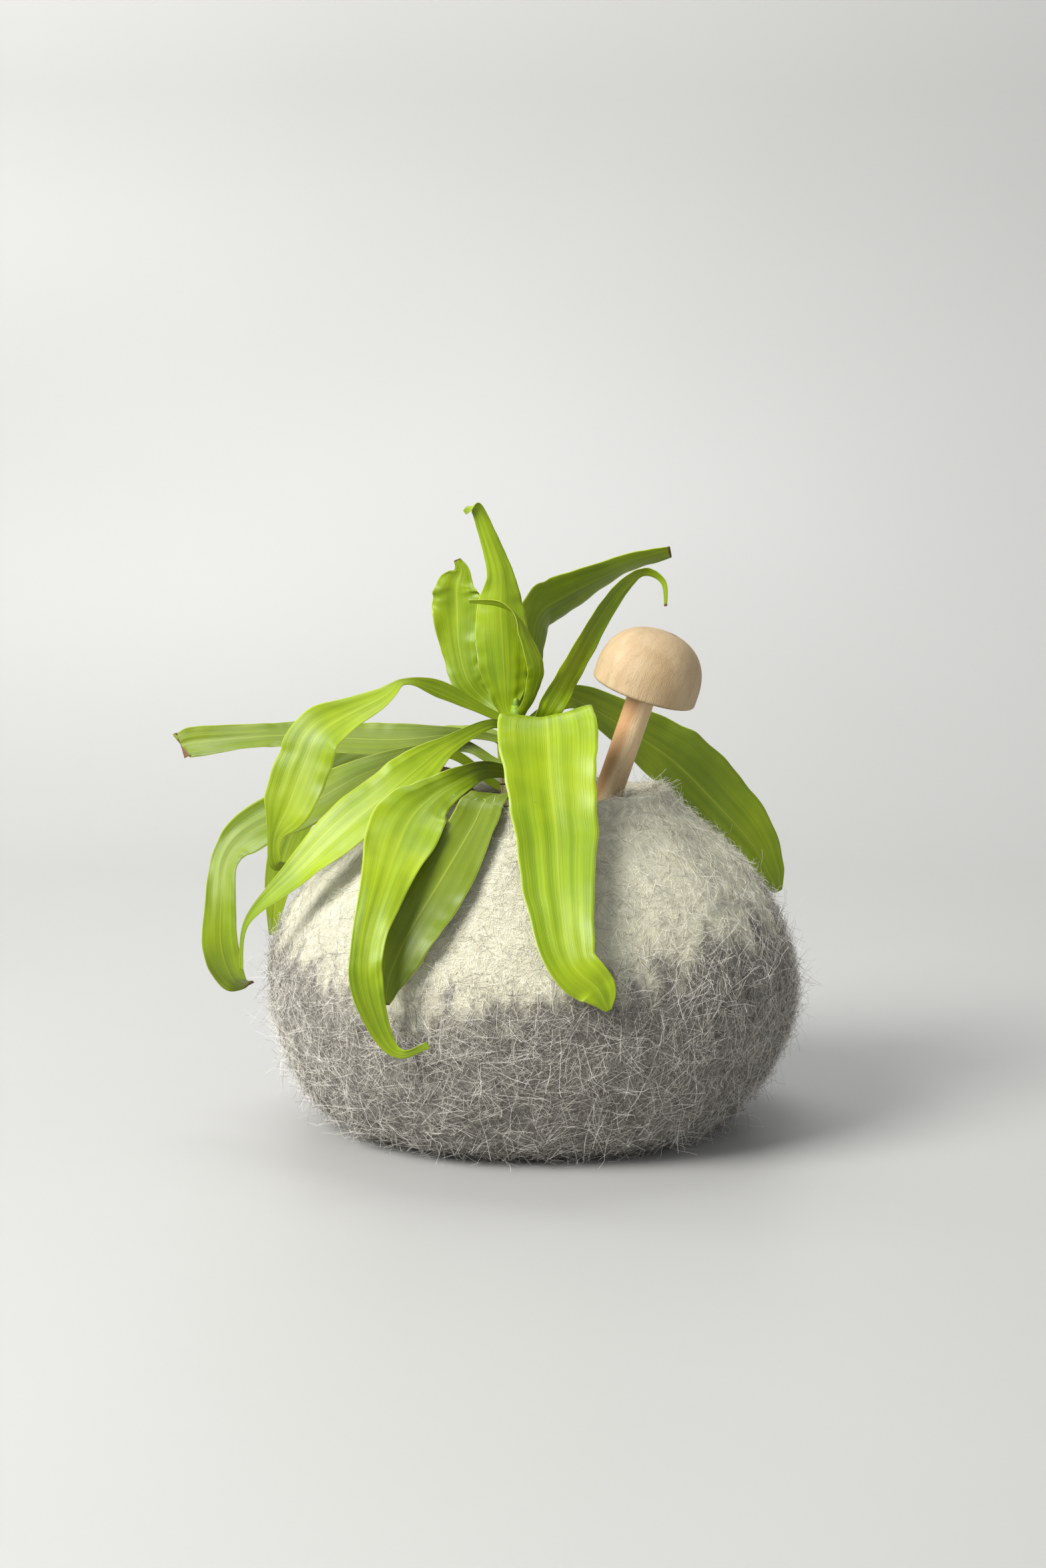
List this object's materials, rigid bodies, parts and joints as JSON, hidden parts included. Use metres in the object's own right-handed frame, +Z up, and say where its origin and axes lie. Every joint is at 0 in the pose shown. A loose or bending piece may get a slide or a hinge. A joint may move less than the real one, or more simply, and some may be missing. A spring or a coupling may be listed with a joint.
{
  "type": "felted wool planter",
  "caption": "Pebble-shaped wet-felted wool cover pot, cream over grey, holding a potted lime-green cane plant and a turned wooden mushroom pick.",
  "frame": {"origin": "centre of the felt vessel's flat underside", "axes": "+Z up through the mouth; the front looks along -Y and the mushroom leans towards +X"},
  "size_m": [0.2864, 0.2613, 0.281],
  "materials": {
    "felt": "wet-felted wool, cream above and mixed grey below, hairy",
    "saucer_plastic": "thin clear-milky plastic",
    "pot_plastic": "thin black plastic",
    "mix": "dark crumbly potting mix",
    "root": "pale fleshy roots",
    "cane": "woody cane with leaf scars",
    "leaf_green": "satin lime-green leaf, ribbed along its length",
    "dried_leaf": "dry brown leaf",
    "cap_wood": "bare turned wood, sanded",
    "stem_wood": "bare turned wood with a darker heart streak"
  },
  "bodies": {
    "vessel": {"felt_vessel": "felt"},
    "saucer": {"drip_saucer": "saucer_plastic"},
    "plant": {"nursery_pot": "pot_plastic", "potting_mix": "mix", "roots": "root", "cane": "cane", "shoot": "leaf_green", "leaf_front": "leaf_green", "leaf_left_front": "leaf_green", "leaf_front_under": "leaf_green", "leaf_left_long": "leaf_green", "leaf_left_twisted": "leaf_green", "leaf_far_left": "leaf_green", "leaf_left_low": "leaf_green", "leaf_left_back": "leaf_green", "leaf_back_left": "leaf_green", "leaf_back": "leaf_green", "leaf_upright_left": "leaf_green", "leaf_upright_tall": "leaf_green", "leaf_young": "leaf_green", "leaf_right_narrow": "leaf_green", "leaf_right_arching": "leaf_green", "leaf_right_back": "leaf_green", "dried_leaf": "dried_leaf"},
    "mushroom": {"mushroom_cap": "cap_wood", "mushroom_stem": "stem_wood"}
  },
  "joints": [
    {"name": "saucer_lift", "type": "slide", "parent": "vessel", "child": "saucer", "axis": [0, 0, 1], "range_m": [0, 0.16]},
    {"name": "pot_lift", "type": "slide", "parent": "saucer", "child": "plant", "axis": [0, 0, 1], "range_m": [0, 0.16]},
    {"name": "mushroom_pull", "type": "slide", "parent": "plant", "child": "mushroom", "axis": [0.308, -0.1244, 0.9432], "range_m": [0, 0.06]}
  ]
}
